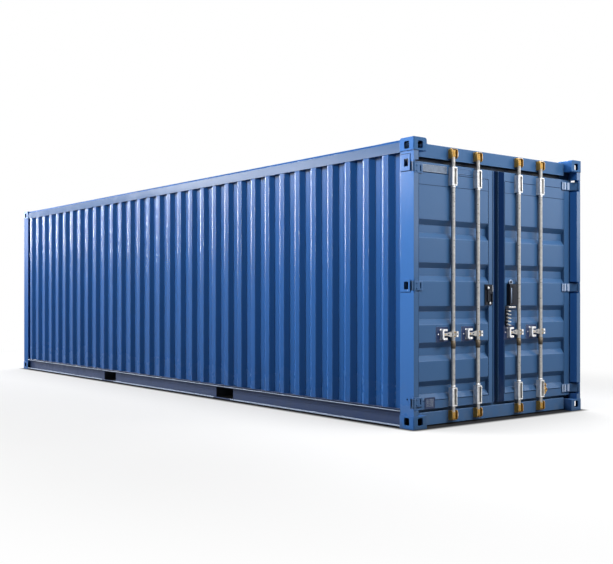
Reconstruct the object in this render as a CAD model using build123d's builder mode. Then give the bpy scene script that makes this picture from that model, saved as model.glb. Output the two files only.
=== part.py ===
"""Blue 30 ft dry cargo container with corrugated walls and two hinged doors.

Millimetres. Length along X with the doors at +X, width along Y, +Z up.
The origin is at the centre of the footprint, on the plane the castings rest on.
Left and right are as seen by someone who faces the doors, so left is -Y.
"""
import os
from build123d import *

os.makedirs("parts", exist_ok=True)

# Overall size
length = 9125
width = 2438
height = 2591

# Corner castings
cast_l = 178
cast_w = 162
cast_h = 118
cast_plate = 28
cast_wall = 16
cast_inner_wall = 12
slot_len = 124
slot_w = 63.5
slot_inset_x = 103.5
slot_inset_y = 89.5
port_w = 64
port_h = 68
port_cut = 9
cast_cut = 6
cast_round = 24
proud = 6              # castings stand this far outside the frame

# Frame plates and rails
post_t = 6
hole_w = 52
hole_h = 68
hole_in = 98
hole_drop = 105
rail_t = 4
rail_w = 60
rail_h = 92
rail_drop = 31         # top of the rails below the top of the castings
sill_lift = 14         # underside of the rails above the ground
base_h = 158
base_depth = 40
base_t = 5
front_post_face = 110

# Walls, roof and floor
sheet_t = 2
wall_pitch = 264
wall_flat = 74
wall_depth = 36
wall_set = 3           # outer flats of a wall inside the rail face
end_pitch = 250
end_flat = 70
end_depth = 45
roof_pitch = 209
roof_flat = 75
roof_depth = 18
roof_lap = 45
roof_lip = 4
floor_t = 28
floor_gap = 3
beam_h = 122
beam_flange = 45
beam_t = 4
beam_pitch = 300

# Fork pockets
fork_span = 2920
fork_w = 350
fork_h = 116
fork_strap = 6
fork_wall = 6

# Doors
door_set = 98          # outer face of the doors inside the end plane
door_t = 50
door_top_gap = 42
door_bottom_gap = 27
door_edge = 70         # hinge side edge in from the side plane
door_meet = 22         # metal edge of each door from the centre line
door_tube = 3
stile_w = 90
meet_w = 100
top_rail_h = 92
bottom_rail_h = 78
rib_shares = (0.076, 0.232, 0.38, 0.557, 0.732)
rib_h = 170
rib_slope = 50
rib_depth = 36
seal_w = 7
seal_t = 18
seat_gap = 5
seat_t = 5
header_h = 124
header_lip = 30
sill_h = 116
swing_gap = 5

# Hinges
hinge_in = 18          # hinge axis in from both outer planes
hinge_low = 73
hinge_high = 64
pin_r = 9
pin_gap = 0.3
knuckle_r = 16
blade_h = 84
blade_t = 10
blade_reach = 200
blade_slot_w = 16
blade_slot_h = 52
blade_slot_in = 172
lug_t = 16
lug_gap = 1
notch_back = 30

# Lock bars and their fittings
inner_bar = 300
outer_bar = 640
bar_r = 19
bar_wall = 3.2
bar_off = 27           # bar axis in front of the door face
bar_gap = 0.5
cam_r = 22
cam_nose = 28
cam_nose_w = 30
cam_h = 60
sill_cam_drop = 46
keeper_gap = 6
keeper_t = 6
keeper_h = 90
keeper_out = 57
keeper_bevel = 14
guide_t = 4
guide_w = 66
guide_h = 170
guide_deep = 52
guide_lip = 13
guide_round = 4
guide_low = 95
guide_high = 105
guide_bush = 10
handle_z = 830
handle_len = 124
handle_h = 26
handle_root = 54
handle_neck = 82
handle_slot_w = 26
handle_slot_h = 10
handle_slot_in = 62
handle_t = 10
hub_h = 64
hub_t = 3
catch_h = 100
catch_w = 62
catch_t = 19
catch_round = 14
catch_in = 150
catch_out = 40
ear_in = 46
ear_w = 24
ear_h = 52
pad_w = 160
pad_h = 140
pad_t = 3

# Values that follow from the sizes above
end_x = length / 2
side_y = width / 2
rail_top = height - rail_drop
rail_bottom = rail_top - rail_h
base_top = sill_lift + base_h
frame_y = side_y - proud
frame_x = end_x - proud
inner_x = end_x - cast_l
face_x = end_x - door_set
back_x = face_x - door_t
seat_x = back_x - seat_gap
hinge_x = end_x - hinge_in
hinge_y = side_y - hinge_in
bar_x = face_x + bar_off
post_top = height - cast_h
beam_top = sill_lift + fork_strap + beam_h
floor_top = beam_top + floor_t
slot_span_x = length - 2 * slot_inset_x
slot_span_y = width - 2 * slot_inset_y
wall_count = int(2 * inner_x / wall_pitch)
end_count = int(2 * (frame_y - front_post_face) / end_pitch)
roof_count = int(2 * inner_x / roof_pitch)
header_bottom = rail_top - header_h
sill_top = sill_lift + sill_h
door_top = header_bottom - door_top_gap
door_bottom = sill_top + door_bottom_gap
door_h = door_top - door_bottom
rib_zs = [door_bottom + share * door_h for share in rib_shares]
hinge_zs = (door_bottom + hinge_low, (door_bottom + door_top) / 2, door_top - hinge_high)
guide_zs = (door_bottom + guide_low, door_top - guide_high)
bar_ys = (-outer_bar, -inner_bar, inner_bar, outer_bar)
header_cam_z = header_bottom + header_h / 2
sill_cam_z = sill_top - sill_cam_drop


def plan(z):
    """Horizontal plane at height z."""
    return Plane.XY.offset(z)


def facing_y(y):
    """Upright plane across the width at y, drawn in X and Z, extruded to +Y."""
    return Plane(origin=(0, y, 0), x_dir=(-1, 0, 0), z_dir=(0, 1, 0))


def facing_x(x):
    """Upright plane across the length at x, drawn in Y and Z, extruded to +X."""
    return Plane(origin=(x, 0, 0), x_dir=(0, 1, 0), z_dir=(1, 0, 0))


def block(x0, x1, y0, y1, z0, z1, mode=Mode.ADD):
    """Box between two corners."""
    with Locations(((x0 + x1) / 2, (y0 + y1) / 2, (z0 + z1) / 2)):
        Box(abs(x1 - x0), abs(y1 - y0), abs(z1 - z0), mode=mode)


def outline(points, mode=Mode.ADD):
    """Closed face through the points of a profile."""
    Polygon(*points, align=None, mode=mode)


def wave(start, pitch, flat, depth, count, t):
    """Profile of a pressed sheet: count waves along the first axis.

    The outer flats are at 0 and the inner ones at -depth."""
    slope = (pitch - 2 * flat) / 2
    near = []
    for i in range(count):
        s = start + i * pitch
        near += [(s, -depth), (s + slope, 0), (s + slope + flat, 0), (s + 2 * slope + flat, -depth)]
    near.append((start + count * pitch, -depth))
    far = [(a, b - t) for a, b in reversed(near)]
    return near + far


def save(piece, name):
    """Name a finished piece and write its file."""
    piece.part.label = name
    export_step(piece.part, f"parts/{name}.step")


# Corner castings


def make_castings(top):
    """Four hollow castings with a slot and two side ports each."""
    z0 = height - cast_h if top else 0
    plate = (z0 + cast_h - cast_plate, z0 + cast_h) if top else (z0, z0 + cast_plate)
    hollow = (z0 + cast_inner_wall, plate[0]) if top else (plate[1], z0 + cast_h - cast_inner_wall)
    with BuildPart() as castings:
        for sx in (-1, 1):
            for sy in (-1, 1):
                block(sx * inner_x, sx * end_x, sy * (side_y - cast_w), sy * side_y, z0, z0 + cast_h)
        flat = castings.edges().group_by(Axis.Z)[-1 if top else 0]
        mid = cast_w - cast_cut
        inner = [e for e in flat if abs(e.center().X) < inner_x + 1 or abs(e.center().Y) < side_y - mid]
        if top:
            fillet(inner, cast_round)
        outer = castings.edges().filter_by(Axis.Z).filter_by(lambda e: abs(e.center().X) > end_x - 1)
        chamfer([e for e in outer if abs(e.center().Y) > side_y - 1], cast_cut)
        for sx in (-1, 1):
            for sy in (-1, 1):
                block(sx * (inner_x + cast_inner_wall), sx * (end_x - cast_wall),
                      sy * (side_y - cast_w + cast_inner_wall), sy * (side_y - cast_wall),
                      *hollow, mode=Mode.SUBTRACT)
        with BuildSketch(plan(plate[0])):
            with GridLocations(slot_span_x, slot_span_y, 2, 2):
                SlotOverall(slot_len, slot_w)
        extrude(amount=plate[1] - plate[0], mode=Mode.SUBTRACT)
        port_z = (hollow[0] + hollow[1]) / 2
        for sy in (-1, 1):
            with BuildSketch(facing_y(sy * side_y)) as port:
                with Locations((-inner_x - cast_l / 2, port_z), (inner_x + cast_l / 2, port_z)):
                    Rectangle(port_w, port_h)
                chamfer(port.vertices(), port_cut)
            extrude(amount=-sy * cast_wall, mode=Mode.SUBTRACT)
        for sx in (-1, 1):
            with BuildSketch(facing_x(sx * end_x)) as port:
                y = side_y - cast_w / 2
                with Locations((-y, port_z), (y, port_z)):
                    Rectangle(port_w, port_h)
                chamfer(port.vertices(), port_cut)
            extrude(amount=-sx * cast_wall, mode=Mode.SUBTRACT)
    return castings


save(make_castings(True), "top_corner_castings")
save(make_castings(False), "bottom_corner_castings")


# Posts


def make_rear_post(side):
    """Pressed door post: side plate, front plate, return and gasket seat."""
    lip = door_edge - swing_gap - proud
    front = [
        (inner_x, 0),
        (frame_x, 0),
        (frame_x, lip),
        (face_x + swing_gap, lip),
        (face_x + swing_gap, lip - post_t),
        (frame_x - post_t, lip - post_t),
        (frame_x - post_t, post_t),
        (seat_x, post_t),
        (seat_x, cast_w - proud),
        (inner_x, cast_w - proud),
        (inner_x, cast_w - proud - post_t),
        (seat_x - post_t, cast_w - proud - post_t),
        (seat_x - post_t, post_t),
        (inner_x + post_t, post_t),
        (inner_x + post_t, wall_set + wall_depth + post_t),
        (inner_x, wall_set + wall_depth + post_t),
    ]
    points = [(x, side * (frame_y - v)) for x, v in front]
    with BuildPart() as post:
        with BuildSketch(plan(cast_h)):
            outline(points)
        extrude(amount=post_top - cast_h)
        half = blade_h / 2 + lug_t + lug_gap
        for z in hinge_zs:
            block(hinge_x - notch_back, end_x, side * side_y, side * (frame_y - post_t - 1),
                  z - half, z + half, mode=Mode.SUBTRACT)
            block(seat_x + 1, end_x, side * (frame_y - post_t - 1), side * (frame_y - lip - 1),
                  z - half, z + half, mode=Mode.SUBTRACT)
        for z in (hinge_zs[1], post_top - hole_drop):
            block(end_x - hole_in - hole_w / 2, end_x - hole_in + hole_w / 2, side * side_y,
                  side * (frame_y - post_t - 1), z - hole_h / 2, z + hole_h / 2, mode=Mode.SUBTRACT)
    return post


def make_hinge_lugs():
    """Lug plates on the door posts with the hinge pins held between them."""
    with BuildPart() as lugs:
        for side in (-1, 1):
            for z in hinge_zs:
                reach = blade_h / 2 + lug_gap
                for z0 in (z - reach - lug_t, z + reach):
                    with BuildSketch(plan(z0)) as plate:
                        with Locations((hinge_x - (notch_back - knuckle_r) / 2, side * hinge_y)):
                            Rectangle(notch_back + knuckle_r, 2 * (hinge_in - proud))
                        chamfer(plate.vertices().group_by(Axis.X)[-1], knuckle_r / 2)
                    extrude(amount=lug_t)
                with BuildSketch(plan(z - reach)):
                    with Locations((hinge_x, side * hinge_y)):
                        RegularPolygon(pin_r, 8)
                extrude(amount=2 * reach)
    return lugs


def make_front_post(side):
    """Plain corner post of the closed end."""
    face = front_post_face
    lip = end_depth + wall_set + post_t
    shape = [(-inner_x, 0), (-frame_x, 0), (-frame_x, face), (-frame_x + lip, face),
             (-frame_x + lip, face - post_t), (-frame_x + post_t, face - post_t),
             (-frame_x + post_t, post_t), (-inner_x - post_t, post_t),
             (-inner_x - post_t, wall_set + wall_depth + post_t),
             (-inner_x, wall_set + wall_depth + post_t)]
    with BuildPart() as post:
        with BuildSketch(plan(cast_h)):
            outline([(x, side * (frame_y - v)) for x, v in shape])
        extrude(amount=post_top - cast_h)
    return post


for side, name in ((-1, "left"), (1, "right")):
    save(make_rear_post(side), f"rear_post_{name}")
    save(make_front_post(side), f"front_post_{name}")

save(make_hinge_lugs(), "hinge_lugs")


# Rails


def make_top_rails():
    """Tubes along the top of the two side walls."""
    with BuildPart() as rails:
        for side in (-1, 1):
            with BuildSketch(facing_x(-inner_x)):
                with Locations((side * (frame_y - rail_w / 2), rail_top - rail_h / 2)):
                    Rectangle(rail_w, rail_h)
                    Rectangle(rail_w - 2 * rail_t, rail_h - 2 * rail_t, mode=Mode.SUBTRACT)
            extrude(amount=2 * inner_x)
    return rails


def make_bottom_rails():
    """Channels along the bottom of the side walls, open to the outside, in runs between the pockets."""
    web = base_depth
    shape = [(0, sill_lift), (web, sill_lift), (web, base_top), (0, base_top),
             (0, base_top - base_t), (web - base_t, base_top - base_t),
             (web - base_t, sill_lift + base_t), (0, sill_lift + base_t)]
    pocket = fork_span / 2 + fork_w / 2
    runs = ((-inner_x, -pocket), (fork_w / 2 - fork_span / 2, fork_span / 2 - fork_w / 2), (pocket, inner_x))
    with BuildPart() as rails:
        for start, end in runs:
            with BuildSketch(facing_x(start)):
                for side in (-1, 1):
                    outline([(side * (frame_y - v), z) for v, z in shape])
            extrude(amount=end - start)
    return rails


def make_pocket_frames():
    """Lintel over each fork pocket mouth and the strap under it, which join the runs of the rail."""
    top = sill_lift + fork_strap + fork_h
    web = base_depth
    lintel = [(0, base_top), (web, base_top), (web, top), (web - base_t, top),
              (web - base_t, base_top - base_t), (0, base_top - base_t)]
    with BuildPart() as frames:
        for x in (-fork_span / 2 - fork_w / 2, fork_span / 2 - fork_w / 2):
            with BuildSketch(facing_x(x)):
                for side in (-1, 1):
                    outline([(side * (frame_y - v), z) for v, z in lintel])
                    with Locations((side * (frame_y - web / 2), sill_lift + fork_strap / 2)):
                        Rectangle(web, fork_strap)
            extrude(amount=fork_w)
    return frames


save(make_top_rails(), "top_side_rails")
save(make_bottom_rails(), "bottom_side_rails")
save(make_pocket_frames(), "pocket_frames")


def make_door_header():
    """Box header over the doors with a lip behind their top edge."""
    y = side_y - cast_w
    with BuildPart() as header:
        shape = [(face_x, header_bottom), (face_x, rail_top), (inner_x, rail_top),
                 (inner_x, door_top - header_lip), (seat_x, door_top - header_lip), (seat_x, header_bottom)]
        with BuildSketch(facing_y(-y)):
            outline([(-x, z) for x, z in shape])
            hole = [(face_x - rail_t, header_bottom + rail_t), (face_x - rail_t, rail_top - rail_t),
                    (inner_x + rail_t, rail_top - rail_t), (inner_x + rail_t, header_bottom + rail_t)]
            outline([(-x, z) for x, z in hole], mode=Mode.SUBTRACT)
        extrude(amount=2 * y)
    return header


def make_door_sill():
    """Sill channel under the doors with an upstand behind their bottom edge."""
    y = side_y - cast_w
    with BuildPart() as sill:
        shape = [(face_x, sill_lift), (face_x, sill_top), (seat_x, sill_top),
                 (seat_x, floor_top), (seat_x - seat_t, floor_top), (seat_x - seat_t, sill_top),
                 (inner_x, sill_top), (inner_x, sill_top - base_t), (face_x - base_t, sill_top - base_t),
                 (face_x - base_t, sill_lift + base_t), (inner_x, sill_lift + base_t),
                 (inner_x, sill_lift)]
        with BuildSketch(facing_y(-y)):
            outline([(-x, z) for x, z in shape])
        extrude(amount=2 * y)
    return sill


def make_front_header():
    """Tube across the top of the closed end."""
    y = side_y - cast_w
    x = -frame_x + rail_w / 2
    with BuildPart() as header:
        with BuildSketch(facing_y(-y)):
            with Locations((-x, rail_top - rail_h / 2)):
                Rectangle(rail_w, rail_h)
                Rectangle(rail_w - 2 * rail_t, rail_h - 2 * rail_t, mode=Mode.SUBTRACT)
        extrude(amount=2 * y)
    return header


def make_front_sill():
    """Channel across the bottom of the closed end, open to the inside."""
    y = side_y - cast_w
    w = rail_w + end_depth / 2
    shape = [(0, sill_lift), (0, base_top), (w, base_top), (w, base_top - base_t),
             (base_t, base_top - base_t), (base_t, sill_lift + base_t), (w, sill_lift + base_t),
             (w, sill_lift)]
    with BuildPart() as sill:
        with BuildSketch(facing_y(-y)):
            outline([(frame_x - v, z) for v, z in shape])
        extrude(amount=2 * y)
    return sill


save(make_door_header(), "door_header")
save(make_door_sill(), "door_sill")
save(make_front_header(), "front_header")
save(make_front_sill(), "front_sill")


# Walls, roof and floor


def make_side_wall(side):
    """Pressed side wall with upright corrugations."""
    run = wall_count * wall_pitch
    points = wave(-run / 2, wall_pitch, wall_flat, wall_depth, wall_count, sheet_t)
    points[0] = (-inner_x, points[0][1])
    points[-1] = (-inner_x, points[-1][1])
    half = len(points) // 2
    points[half - 1] = (inner_x, points[half - 1][1])
    points[half] = (inner_x, points[half][1])
    with BuildPart() as wall:
        with BuildSketch(plan(base_top)):
            outline([(x, side * (frame_y - wall_set + v)) for x, v in points])
        extrude(amount=rail_bottom - base_top)
    return wall


def make_front_wall():
    """Pressed wall of the closed end."""
    run = end_count * end_pitch
    edge = frame_y - front_post_face
    points = wave(-run / 2, end_pitch, end_flat, end_depth, end_count, sheet_t)
    points[0] = (-edge, points[0][1])
    points[-1] = (-edge, points[-1][1])
    half = len(points) // 2
    points[half - 1] = (edge, points[half - 1][1])
    points[half] = (edge, points[half][1])
    with BuildPart() as wall:
        with BuildSketch(plan(base_top)):
            outline([(-(frame_x - wall_set + v), y) for y, v in points])
        extrude(amount=rail_bottom - base_top)
    return wall


def make_roof():
    """Roof sheets pressed with ribs across the width."""
    run = roof_count * roof_pitch
    y = frame_y - rail_w + roof_lap
    points = wave(-run / 2, roof_pitch, roof_flat, roof_depth, roof_count, sheet_t)
    top = rail_top + sheet_t + roof_depth
    front = -frame_x + rail_w - roof_lap
    back = inner_x + roof_lap
    points[0] = (front, points[0][1])
    points[-1] = (front, points[-1][1])
    half = len(points) // 2
    points[half - 1] = (back, points[half - 1][1])
    points[half] = (back, points[half][1])
    with BuildPart() as roof:
        with BuildSketch(facing_y(-y)):
            outline([(-x, top + v) for x, v in points])
        extrude(amount=2 * y)
        for sy in (-1, 1):
            block(front, back, sy * (y - roof_lip), sy * y, rail_top, top)
        for sx in (-1, 1):
            for sy in (-1, 1):
                block(sx * inner_x - floor_gap * sx, sx * end_x, sy * (side_y - cast_w - floor_gap),
                      sy * side_y, rail_top - 1, height, mode=Mode.SUBTRACT)
    return roof


def make_floor():
    """Plywood deck between the bottom rails."""
    front = -frame_x + rail_w + end_depth / 2
    y = frame_y - base_depth
    with BuildPart() as deck:
        block(front, seat_x - seat_t, -y, y, beam_top, floor_top)
        for sx, x in ((-1, -inner_x), (1, inner_x)):
            for sy in (-1, 1):
                block(x, sx * end_x, sy * (side_y - cast_w), sy * side_y, 0, floor_top + 1,
                      mode=Mode.SUBTRACT)
    return deck


def beam_places():
    """Positions of the cross members, clear of the fork pockets."""
    count = int(2 * inner_x / beam_pitch)
    first = -beam_pitch * (count - 1) / 2
    clear = fork_w / 2 + fork_wall + beam_flange
    places = []
    for i in range(count):
        x = first + i * beam_pitch
        if min(abs(x - fork_span / 2), abs(x + fork_span / 2)) > clear:
            places.append(x)
    return places


def make_beams():
    """Channel cross members under the deck."""
    z0 = beam_top - beam_h
    y = frame_y - base_depth
    shape = [(0, z0), (beam_flange, z0), (beam_flange, z0 + beam_t), (beam_t, z0 + beam_t),
             (beam_t, beam_top - beam_t), (beam_flange, beam_top - beam_t),
             (beam_flange, beam_top), (0, beam_top)]
    with BuildPart() as beams:
        with BuildSketch(facing_y(-y)):
            for x in beam_places():
                outline([(-x - v + beam_flange / 2, z) for v, z in shape])
        extrude(amount=2 * y)
    return beams


def make_fork_walls():
    """Side plates of the two fork pockets."""
    y = frame_y - base_depth
    z0 = sill_lift + fork_strap
    with BuildPart() as walls:
        for x in (-fork_span / 2, fork_span / 2):
            for edge in (-1, 1):
                near = x + edge * fork_w / 2
                block(near, near + edge * fork_wall, -y, y, z0, beam_top)
    return walls


def make_fork_roofs():
    """Plates that close the fork pockets under the deck."""
    y = frame_y - base_depth
    with BuildPart() as roofs:
        for x in (-fork_span / 2, fork_span / 2):
            block(x - fork_w / 2, x + fork_w / 2, -y, y, sill_lift + fork_strap + fork_h, beam_top)
    return roofs


save(make_side_wall(-1), "side_wall_left")
save(make_side_wall(1), "side_wall_right")
save(make_front_wall(), "front_wall")
save(make_roof(), "roof_panel")
save(make_floor(), "floor_deck")
save(make_beams(), "cross_members")
save(make_fork_walls(), "fork_pocket_walls")
save(make_fork_roofs(), "fork_pocket_roofs")


# Keepers on the header and the sill


def make_keepers():
    """Keepers with two cheeks and a bridge; the cams leave through the open front."""
    left = cam_nose + keeper_gap
    right = cam_r + keeper_gap
    bridge = keeper_h / 2 - keeper_t
    with BuildPart() as keepers:
        for z in (sill_cam_z, header_cam_z):
            for y in bar_ys:
                block(face_x, face_x + keeper_out, y - left - keeper_t, y + right + keeper_t,
                      z - keeper_h / 2, z + keeper_h / 2)
        chamfer(keepers.edges().filter_by(Axis.Y).group_by(Axis.X)[-1], keeper_bevel)
        for z, up in ((sill_cam_z, -1), (header_cam_z, 1)):
            for y in bar_ys:
                block(face_x - 1, face_x + keeper_out + 1, y - left, y + right,
                      z - up * keeper_h, z + up * bridge, mode=Mode.SUBTRACT)
    return keepers


save(make_keepers(), "cam_keepers")


# Doors


def rib_profile(outer):
    """Upright profile of a door panel with its recessed ribs, in X and Z."""
    points = [(outer, door_bottom + bottom_rail_h)]
    for z in sorted(rib_zs):
        points.append((outer, z - rib_h / 2))
        points.append((outer - rib_depth, z - rib_h / 2 + rib_slope))
        points.append((outer - rib_depth, z + rib_h / 2 - rib_slope))
        points.append((outer, z + rib_h / 2))
    points.append((outer, door_top - top_rail_h))
    return points


def make_door_panel(side):
    """Pressed door sheet inside its frame."""
    y0 = door_meet + meet_w
    y1 = side_y - door_edge - stile_w
    near = rib_profile(face_x)
    far = [(x - sheet_t, z) for x, z in reversed(near)]
    with BuildPart() as panel:
        with BuildSketch(facing_y(min(side * y0, side * y1))):
            outline([(-x, z) for x, z in near + far])
        extrude(amount=y1 - y0)
    return panel


def make_door_frame(side):
    """Welded frame of tubes and channels round a door panel."""
    y0 = door_meet
    y1 = side_y - door_edge
    t = door_tube
    with BuildPart() as frame:
        block(back_x, face_x, side * y0, side * y1, door_bottom, door_top)
        block(back_x, face_x, side * (y0 + meet_w), side * (y1 - stile_w),
              door_bottom + bottom_rail_h, door_top - top_rail_h, mode=Mode.SUBTRACT)
        block(back_x + t, face_x - t, side * (y0 + t), side * (y0 + meet_w - t),
              door_bottom + t, door_top - t, mode=Mode.SUBTRACT)
        block(back_x + t, face_x - t, side * (y1 - stile_w + t), side * (y1 - t),
              door_bottom + t, door_top - t, mode=Mode.SUBTRACT)
        block(back_x, face_x - t, side * (y0 + meet_w), side * (y1 - stile_w),
              door_bottom + t, door_bottom + bottom_rail_h - t, mode=Mode.SUBTRACT)
        block(back_x, face_x - t, side * (y0 + meet_w), side * (y1 - stile_w),
              door_top - top_rail_h + t, door_top - t, mode=Mode.SUBTRACT)
    return frame


def make_door_gasket(side):
    """Rubber seal round the inner edge of a door."""
    y0 = door_meet
    y1 = side_y - door_edge
    with BuildPart() as gasket:
        block(back_x, back_x + seal_t, side * (y0 - seal_w), side * (y1 + seal_w),
              door_bottom - seal_w, door_top + seal_w)
        block(back_x, back_x + seal_t, side * y0, side * y1, door_bottom, door_top,
              mode=Mode.SUBTRACT)
    return gasket


def make_door_hinges(side):
    """Hinge blades on a door, each with the knuckle that turns on a pin."""
    s = hinge_x - face_x
    arm = [(-s, door_edge - hinge_in), (-s, blade_reach - hinge_in),
           (-s + blade_t, blade_reach - hinge_in), (-s + blade_t, door_edge - hinge_in + 4),
           (7, 7), (-7, -7)]
    with BuildPart() as hinges:
        for z in hinge_zs:
            with BuildSketch(plan(z - blade_h / 2)):
                outline([(hinge_x + u, side * (hinge_y - v)) for u, v in arm])
                with Locations((hinge_x, side * hinge_y)):
                    RegularPolygon(knuckle_r, 16)
                    RegularPolygon(pin_r + pin_gap, 8, major_radius=False, mode=Mode.SUBTRACT)
            extrude(amount=blade_h)
            y = side_y - blade_slot_in
            block(face_x, face_x + blade_t, side * (y - blade_slot_w / 2), side * (y + blade_slot_w / 2),
                  z - blade_slot_h / 2, z + blade_slot_h / 2, mode=Mode.SUBTRACT)
    return hinges


def door_bars(side):
    """Positions of the lock bars on one door."""
    return [y for y in bar_ys if y * side > 0]


def make_bar_guides(side):
    """Cages that hold the lock bars on a door: a lipped channel with a bush at each end."""
    half = guide_w / 2
    t = guide_t
    shape = [(0, -half), (guide_deep, -half), (guide_deep, -half + guide_lip), (guide_deep - t, -half + guide_lip),
             (guide_deep - t, -half + t), (t, -half + t), (t, half - t), (guide_deep - t, half - t),
             (guide_deep - t, half - guide_lip), (guide_deep, half - guide_lip), (guide_deep, half), (0, half)]
    with BuildPart() as guides:
        for z in guide_zs:
            for y in door_bars(side):
                with BuildSketch(plan(z - guide_h / 2)) as cage:
                    outline([(face_x + u, y + v) for u, v in shape])
                    corners = cage.vertices().group_by(Axis.X)[-1].sort_by(Axis.Y)
                    chamfer([corners[0], corners[-1]], guide_round)
                extrude(amount=guide_h)
                for z0 in (z - guide_h / 2, z + guide_h / 2 - guide_bush):
                    with BuildSketch(plan(z0)):
                        with Locations((face_x + (guide_deep - guide_t / 2) / 2, y)):
                            Rectangle(guide_deep - guide_t / 2, guide_w - guide_t)
                        with Locations((bar_x, y)):
                            RegularPolygon(bar_r + bar_gap, 12, major_radius=False, mode=Mode.SUBTRACT)
                    extrude(amount=guide_bush)
    return guides


def make_catches(side):
    """Handle catches on a door: a pad with an open hook, and an ear on the far side of the bar."""
    with BuildPart() as catches:
        for y in door_bars(side):
            mid = y - catch_in + catch_w / 2
            with BuildSketch(facing_x(face_x)):
                with Locations((mid, handle_z)):
                    Rectangle(catch_w, catch_h)
            hook = extrude(amount=catch_out)
            chamfer(hook.edges().filter_by(Axis.X).group_by(Axis.Y)[0], catch_round)
            with BuildSketch(facing_x(face_x)):
                with Locations((mid + catch_t, handle_z)):
                    Rectangle(catch_w, catch_h - 2 * catch_t)
            extrude(amount=catch_out, mode=Mode.SUBTRACT)
            with BuildSketch(facing_x(face_x)):
                with Locations((y + ear_in, handle_z)):
                    Rectangle(ear_w, ear_h)
            extrude(amount=catch_out)
            with BuildSketch(facing_x(face_x)):
                with Locations((mid, handle_z)):
                    Rectangle(pad_w, pad_h)
            extrude(amount=pad_t)
    return catches


for side, name in ((-1, "left"), (1, "right")):
    save(make_door_panel(side), f"{name}_door_panel")
    save(make_door_frame(side), f"{name}_door_frame")
    save(make_door_gasket(side), f"{name}_door_gasket")
    save(make_door_hinges(side), f"{name}_door_hinges")
    save(make_bar_guides(side), f"{name}_bar_guides")
    save(make_catches(side), f"{name}_handle_catches")


# Lock boxes at the meeting edges

plate_z = 1198
plate_h = 196
plate_w = 104
plate_t = 12
box_h = 210
box_w = 110
box_out = 44
latch_in = 50
latch_rod = 9
latch_rod_in = 20
box_in = 126
box_t = 4


def make_latch_plate():
    """Latch plate on the meeting stile of the left door."""
    y = -door_meet - plate_w - latch_in
    with BuildPart() as latch:
        block(face_x, face_x + plate_t, y, y + plate_w, plate_z - plate_h / 2, plate_z + plate_h / 2)
        with BuildSketch(plan(plate_z - plate_h / 2 + latch_rod_in)):
            with Locations((face_x + plate_t, y + plate_w / 2)):
                Circle(latch_rod)
        extrude(amount=plate_h - 2 * latch_rod_in)
    return latch


def make_lock_box():
    """Open lock box on the meeting stile of the right door."""
    y = door_meet + box_in
    with BuildPart() as box:
        block(face_x, face_x + box_out, y, y + box_w, plate_z - box_h / 2, plate_z + box_h / 2)
        block(face_x + box_t, face_x + box_out - box_t, y + box_t, y + box_w - box_t, plate_z - box_h,
              plate_z + box_h / 2 - box_t, mode=Mode.SUBTRACT)
    return box


save(make_latch_plate(), "left_latch_plate")
save(make_lock_box(), "right_lock_box")


# Lock bars


def make_lock_bar(y):
    """Tube between two cams, with a hub and the handle that turns it."""
    low = sill_cam_z + cam_h / 2
    high = header_cam_z - cam_h / 2
    with BuildPart() as bar:
        with BuildSketch(plan(low)):
            with Locations((bar_x, y)):
                Circle(bar_r)
        extrude(amount=high - low)
        with BuildSketch(plan(handle_z - hub_h / 2)):
            with Locations((bar_x, y)):
                RegularPolygon(bar_r + hub_t, 12)
        extrude(amount=hub_h)
        with BuildSketch(facing_x(bar_x - handle_t / 2)):
            half = handle_h / 2
            outline([(y - bar_r, handle_z - handle_root / 2), (y - bar_r, handle_z + handle_root / 2),
                     (y - handle_neck, handle_z + half), (y - handle_len, handle_z + half),
                     (y - handle_len, handle_z - half), (y - handle_neck, handle_z - half)])
            with Locations((y - handle_slot_in, handle_z)):
                Rectangle(handle_slot_w, handle_slot_h, mode=Mode.SUBTRACT)
        extrude(amount=handle_t)
        with BuildSketch(plan(low)):
            with Locations((bar_x, y)):
                RegularPolygon(bar_r - bar_wall, 12)
        extrude(amount=high - low, mode=Mode.SUBTRACT)
    return bar


def make_cams(y):
    """Cams at the two ends of a lock bar, each with its nose towards the handle side."""
    mid = cam_nose - cam_nose_w / 2
    with BuildPart() as cams:
        for z in (sill_cam_z, header_cam_z):
            with BuildSketch(plan(z - cam_h / 2)):
                with Locations((bar_x, y)):
                    RegularPolygon(cam_r, 16)
                with Locations((bar_x, y - mid / 2)):
                    Rectangle(cam_nose_w, mid)
                with Locations((bar_x, y - mid)):
                    RegularPolygon(cam_nose_w / 2, 12, major_radius=False)
            extrude(amount=cam_h)
    return cams


for i, y in enumerate(bar_ys):
    save(make_lock_bar(y), f"lock_bar_{i + 1}")
    save(make_cams(y), f"bar_cams_{i + 1}")
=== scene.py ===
"""Looks of the blue shipping container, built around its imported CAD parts.

Metres, +Z up, doors at +X, the photographed long side at -Y.
Left and right are as seen by someone who faces the doors, so left is -Y.
"""
import math

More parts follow.
